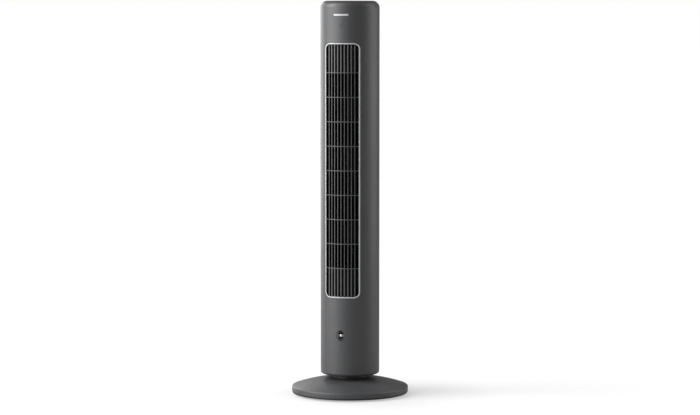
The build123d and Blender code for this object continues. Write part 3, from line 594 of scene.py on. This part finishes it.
def make_cap_body(edge, back, centre):
    """The flush face with its oval recess, and the drum behind it."""
    inner = edge - CAP_WALL
    body = [oval(wide * MM, tall * MM, depth * MM, centre) for wide, tall, depth in RECESS_LIP]
    body += [
        oval(edge - CAP_EDGE, edge - CAP_EDGE, 0.0, centre),
        oval(edge, edge, CAP_EDGE, centre),
        oval(edge, edge, back, centre),
        oval(inner, inner, back, centre),
        oval(inner, inner, CAP_FLOOR, centre),
    ]
    body += [oval(wide * MM, tall * MM, depth * MM, centre) for wide, tall, depth in RECESS_BACK]
    make_piece("scent_cap", [(body, True)], "shell", "scent_holder", "aroma_cap")


def bowl_ring(reach, deepest, rise, centre):
    """An oval of the recess's lining, which is deepest near its middle and rises to its edge."""
    depth = (deepest - rise * reach ** 4) * MM
    return oval(RECESS_WIDTH * reach, RECESS_HEIGHT * reach, depth, centre)


def make_cap_bowl(centre):
    """The lining of the finger recess, in near-black painted shade: its back, its rim and its
    front.
    """
    bowl = [oval(0.2 * MM, 0.3 * MM, 5.4 * MM, centre)]
    for k in range(1, BOWL_STEPS + 1):
        bowl.append(bowl_ring(k / BOWL_STEPS, 5.2, 2.0, centre))
    bowl += [
        oval(RECESS_WIDTH, RECESS_HEIGHT, BOWL_RIM, centre),
        oval(8.0 * MM, 12.2 * MM, BOWL_RIM, centre),
    ]
    for k in range(BOWL_STEPS, 0, -1):
        bowl.append(bowl_ring(k / BOWL_STEPS * BOWL_SHRINK, 4.4, 1.6, centre))
    bowl.append(oval(0.2 * MM, 0.3 * MM, 4.4 * MM, centre))
    # the lining takes the near-black painted shade, standing for the shade in the recess
    make_piece("scent_cap_bowl", [(bowl, False)], "painted_shade_black", "scent_holder")


def make_cap_grip(centre):
    """The bar across the recess, a little wider and prouder at its ends."""
    bar = []
    for k in range(GRIP_STEPS + 1):
        along = 2 * k / GRIP_STEPS - 1
        x = GRIP_REACH * along
        half = (GRIP_HALF + GRIP_FLARE * along * along) * MM
        crown = (GRIP_CROWN + GRIP_SWELL * along * along) * MM
        ring = []
        for turn in range(GRIP_TURNS + 1):
            swing = math.pi * turn / GRIP_TURNS
            depth = -crown * math.sin(swing) ** GRIP_FULLNESS
            ring.append(facing_front(x, half * math.cos(swing), depth, centre))
        ring.append(facing_front(x, -half, GRIP_DEPTH, centre))
        ring.append(facing_front(x, half, GRIP_DEPTH, centre))
        bar.append(ring)
    make_piece("scent_cap_grip", [(bar, False)], "shell", "scent_holder")


def make_scent_cap():
    """Flush twist cap: an oval finger recess, a grip bar across it and a bright stud in the bar."""
    low, high = (Vector(c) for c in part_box("aroma_cap"))
    front = column_radius - CAP_SETBACK
    centre = Vector(((low.x + high.x) / 2, -front, (low.z + high.z) / 2))
    make_cap_body((high.x - low.x) / 2 - CAP_GAP, high.y - centre.y, centre)
    make_cap_bowl(centre)
    make_cap_grip(centre)
    stud = [oval(r * MM, r * MM, depth * MM, centre, STUD_OFFSET) for r, depth in STUD_PROFILE]
    make_piece("scent_cap_stud", [(stud, False)], "satin", "scent_holder")


make_scent_cap()


# ---------------------------------------------------------------- push buttons

# The dish and rim of a button: radius, and drop from its top, in mm
BUTTON_DISH = (
    (0.2, 0.75), (2.0, 0.73), (3.6, 0.62), (5.0, 0.40), (5.8, 0.12), (6.2, 0.01), (6.6, 0.08),
    (6.9, 0.35), (7.0, 0.8),
)
BUTTON_RADIUS = 7.0 * MM
BUTTON_MIDDLE = 0.2 * MM
FLANGE_RADIUS = 8.5 * MM
STEM_RADIUS = 2.0 * MM
MARK_WIDTH = 0.45 * MM
# Drops from a button's top to its flange and to its mark
FLANGE_TOP = 6.3 * MM
FLANGE_BOTTOM = 8.2 * MM
MARK_TOP = 0.5 * MM
MARK_BOTTOM = 0.9 * MM


def strip(points, width, low, high, centre):
    """A thin raised line that follows points (x, y) in millimetres from a centre."""
    up_low, up_high = Vector((0, 0, low)), Vector((0, 0, high))
    rings = []
    count = len(points)
    for k in range(count):
        before = points[max(k - 1, 0)]
        after = points[min(k + 1, count - 1)]
        heading = Vector((after[0] - before[0], after[1] - before[1], 0)).normalized()
        across = Vector((-heading.y, heading.x, 0)) * width / 2
        middle = Vector((centre.x + points[k][0] * MM, centre.y + points[k][1] * MM, 0))
        rings.append(
            [
                middle - across + up_low,
                middle + across + up_low,
                middle + across + up_high,
                middle - across + up_high,
            ]
        )
    return rings, False


def arc_points(radius, start, end):
    """Points along an arc round the origin between two angles in degrees, anticlockwise from +X."""
    turns = [math.radians(start + (end - start) * k / ARC_STEPS) for k in range(ARC_STEPS + 1)]
    return [(radius * math.cos(t), radius * math.sin(t)) for t in turns]


def wave_points(y):
    """Points along a gentle wave at this height."""
    return [(x / 4, y + 0.45 * math.sin(x / 4 * 2.2)) for x in range(-10, 11)]


# Generic marks, as lines of points in mm from the middle of the button
BUTTON_MARKS = {
    "button_timer": (arc_points(2.4, 0, 357), [(0, 1.5), (0, 0), (1.1, -0.6)]),
    "button_mode": (wave_points(-1.4), wave_points(0.0), wave_points(1.4)),
    "button_power": (arc_points(2.3, 125, 415), [(0, 0.4), (0, 2.9)]),
    "button_speed": (
        [(-1.8, -1.8), (-1.8, -0.4)],
        [(0.0, -1.8), (0.0, 0.9)],
        [(1.8, -1.8), (1.8, 2.2)],
    ),
    "button_swing": (
        arc_points(2.6, 215, 325),
        [(-2.9, -0.3), (-2.13, -1.49), (-0.9, -0.9)],
        [(2.9, -0.3), (2.13, -1.49), (0.9, -0.9)],
    ),
}


def make_button(name, marks):
    """A dished button with a soft rim, and a small raised mark in the dish."""
    low, high = (Vector(c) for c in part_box(name))
    centre = Vector(((low.x + high.x) / 2, (low.y + high.y) / 2, 0))
    top = high.z
    profile = [(radius * MM, top - drop * MM) for radius, drop in BUTTON_DISH]
    profile += [
        (BUTTON_RADIUS, top - FLANGE_TOP),
        (FLANGE_RADIUS, top - FLANGE_TOP),
        (FLANGE_RADIUS, top - FLANGE_BOTTOM),
        (STEM_RADIUS, top - FLANGE_BOTTOM),
        (STEM_RADIUS, low.z),
        (BUTTON_MIDDLE, low.z),
    ]
    rings = [polar_ring(radius, height, centre) for radius, height in profile]
    make_piece(name + "_cap", [(rings, False)], "black", name, name)
    lines = [strip(line, MARK_WIDTH, top - MARK_BOTTOM, top - MARK_TOP, centre) for line in marks]
    make_piece(name + "_mark", lines, "mark", name)


for button_name, button_marks in BUTTON_MARKS.items():
    make_button(button_name, button_marks)


# ---------------------------------------------------------------- floor, light and camera

FLOOR_RADIUS = 60
FLOOR_SIDES = 128
FLOOR_DARK = (0.33, 0.33, 0.33)
FLOOR_LIGHT = (0.35, 0.35, 0.35)
FLOOR_BOUNCE = 0.22  # glow with which the floor lights the fan
# Glow of the floor, weaker near the fan as a painted contact shadow and stronger far off to even
# out the floor: distance from the fan in metres, and strength
FLOOR_GLOW_AND_PAINTED_SHADOW = ((0.15, 0.46), (0.40, 0.63), (4.0, 0.93))
FLOOR_GLOW_REACH = 4.0
SURROUND = 0.3
CAMERA_AZIMUTH = math.radians(17.9)
CAMERA_DISTANCE = 6.382
CAMERA_HEIGHT = 1.0214
CAMERA_TILT = math.radians(4.649)
CAMERA_LENS = 122.8
CAMERA_SENSOR = 36.0
CAMERA_REACH = 200.0
# Soft panels: degrees from the camera's direction, positive to its right; distance from the fan;
# height; width and height of the panel; power; and the height on the fan that it is aimed at
SOFTBOXES = {
    "left_panel": (-72, 2.6, 0.85, 2.2, 2.4, 84, 0.5),
    "rear_left_panel": (-145, 2.8, 1.08, 2.2, 1.9, 42, 0.5),
    "front_left_panel": (-35, 3.0, 0.9, 1.8, 2.2, 14, 0.5),
    "right_panel": (98, 2.8, 0.9, 1.6, 2.2, 26, 0.5),
    "top_panel": (-60, 1.6, 2.6, 1.8, 1.8, 20, 0.5),
    "high_left_panel": (-85, 1.5, 1.9, 1.0, 0.8, 30, 0.05),
    "high_right_panel": (96, 1.5, 2.0, 0.8, 0.8, 7, 1.0),
}


def make_floor():
    """A wide pale floor, just bright enough to meet the white background without an edge; its glow
    is weaker near the fan as a painted contact shadow.
    """
    bpy.ops.mesh.primitive_circle_add(
        vertices=FLOOR_SIDES, radius=FLOOR_RADIUS, fill_type="TRIFAN", location=(0, 0, 0)
    )
    floor = bpy.context.object
    floor.name = "floor"
    material, tree, principled, place = shader("pale_floor")
    mottle = noise(tree, place, 3.0)
    tree.links.new(tint(tree, mottle, FLOOR_DARK, FLOOR_LIGHT), principled.inputs["Base Color"])
    principled.inputs["Roughness"].default_value = 0.6
    principled.inputs["Specular IOR Level"].default_value = 0.1
    principled.inputs["Emission Color"].default_value = (1, 1, 1, 1)
    radius = tree.nodes.new("ShaderNodeVectorMath")
    radius.operation = "LENGTH"
    tree.links.new(place, radius.inputs[0])
    reach = tree.nodes.new("ShaderNodeMapRange")
    reach.inputs["From Max"].default_value = FLOOR_GLOW_REACH
    tree.links.new(radius.outputs["Value"], reach.inputs["Value"])
    # the ramp dims the floor's glow near the fan: a painted contact shadow
    ramp = tree.nodes.new("ShaderNodeValToRGB")
    ramp.color_ramp.elements.new(0.5)
    for element, (distance, level) in zip(ramp.color_ramp.elements, FLOOR_GLOW_AND_PAINTED_SHADOW):
        element.position = distance / FLOOR_GLOW_REACH
        element.color = (level, level, level, 1)
    tree.links.new(reach.outputs["Result"], ramp.inputs["Fac"])
    path = tree.nodes.new("ShaderNodeLightPath")
    glow = tree.nodes.new("ShaderNodeMapRange")
    glow.inputs["To Min"].default_value = FLOOR_BOUNCE
    tree.links.new(path.outputs["Is Camera Ray"], glow.inputs["Value"])
    tree.links.new(ramp.outputs["Color"], glow.inputs["To Max"])
    tree.links.new(glow.outputs["Result"], principled.inputs["Emission Strength"])
    floor.data.materials.append(material)


def make_world():
    """White behind the object, and a soft grey surround to light it."""
    world = bpy.data.worlds.new("studio")
    bpy.context.scene.world = world
    world.use_nodes = True
    tree = world.node_tree
    tree.nodes.clear()
    surround = tree.nodes.new("ShaderNodeBackground")
    surround.inputs["Color"].default_value = (1, 1, 1, 1)
    surround.inputs["Strength"].default_value = SURROUND
    behind = tree.nodes.new("ShaderNodeBackground")
    behind.inputs["Color"].default_value = (1, 1, 1, 1)
    behind.inputs["Strength"].default_value = 1.0
    path = tree.nodes.new("ShaderNodeLightPath")
    mix = tree.nodes.new("ShaderNodeMixShader")
    output = tree.nodes.new("ShaderNodeOutputWorld")
    tree.links.new(path.outputs["Is Camera Ray"], mix.inputs["Fac"])
    tree.links.new(surround.outputs["Background"], mix.inputs[1])
    tree.links.new(behind.outputs["Background"], mix.inputs[2])
    tree.links.new(mix.outputs["Shader"], output.inputs["Surface"])


def softbox(name, angle, distance, height, width, tall, power, aim):
    """A soft panel light; SOFTBOXES says what the numbers are."""
    turn = -math.pi / 2 + CAMERA_AZIMUTH + math.radians(angle)
    place = Vector((distance * math.cos(turn), distance * math.sin(turn), height))
    data = bpy.data.lights.new(name, "AREA")
    data.shape = "RECTANGLE"
    data.size = width
    data.size_y = tall
    data.energy = power
    lamp = bpy.data.objects.new(name, data)
    lamp.location = place
    lamp.rotation_mode = "QUATERNION"
    lamp.rotation_quaternion = (Vector((0, 0, aim)) - place).to_track_quat("-Z", "Z")
    bpy.context.scene.collection.objects.link(lamp)


def make_camera():
    """A long lens a little below the height of the fan's top, to the right of its front."""
    data = bpy.data.cameras.new("camera")
    data.lens = CAMERA_LENS
    data.sensor_width = CAMERA_SENSOR
    data.clip_end = CAMERA_REACH
    camera = bpy.data.objects.new("camera", data)
    camera.location = (
        CAMERA_DISTANCE * math.sin(CAMERA_AZIMUTH),
        -CAMERA_DISTANCE * math.cos(CAMERA_AZIMUTH),
        CAMERA_HEIGHT,
    )
    camera.rotation_euler = (math.pi / 2 - CAMERA_TILT, 0, CAMERA_AZIMUTH)
    bpy.context.scene.collection.objects.link(camera)
    bpy.context.scene.camera = camera


make_floor()
make_world()
for panel, numbers in SOFTBOXES.items():
    softbox(panel, *numbers)
make_camera()
bpy.context.scene.view_settings.view_transform = "Standard"
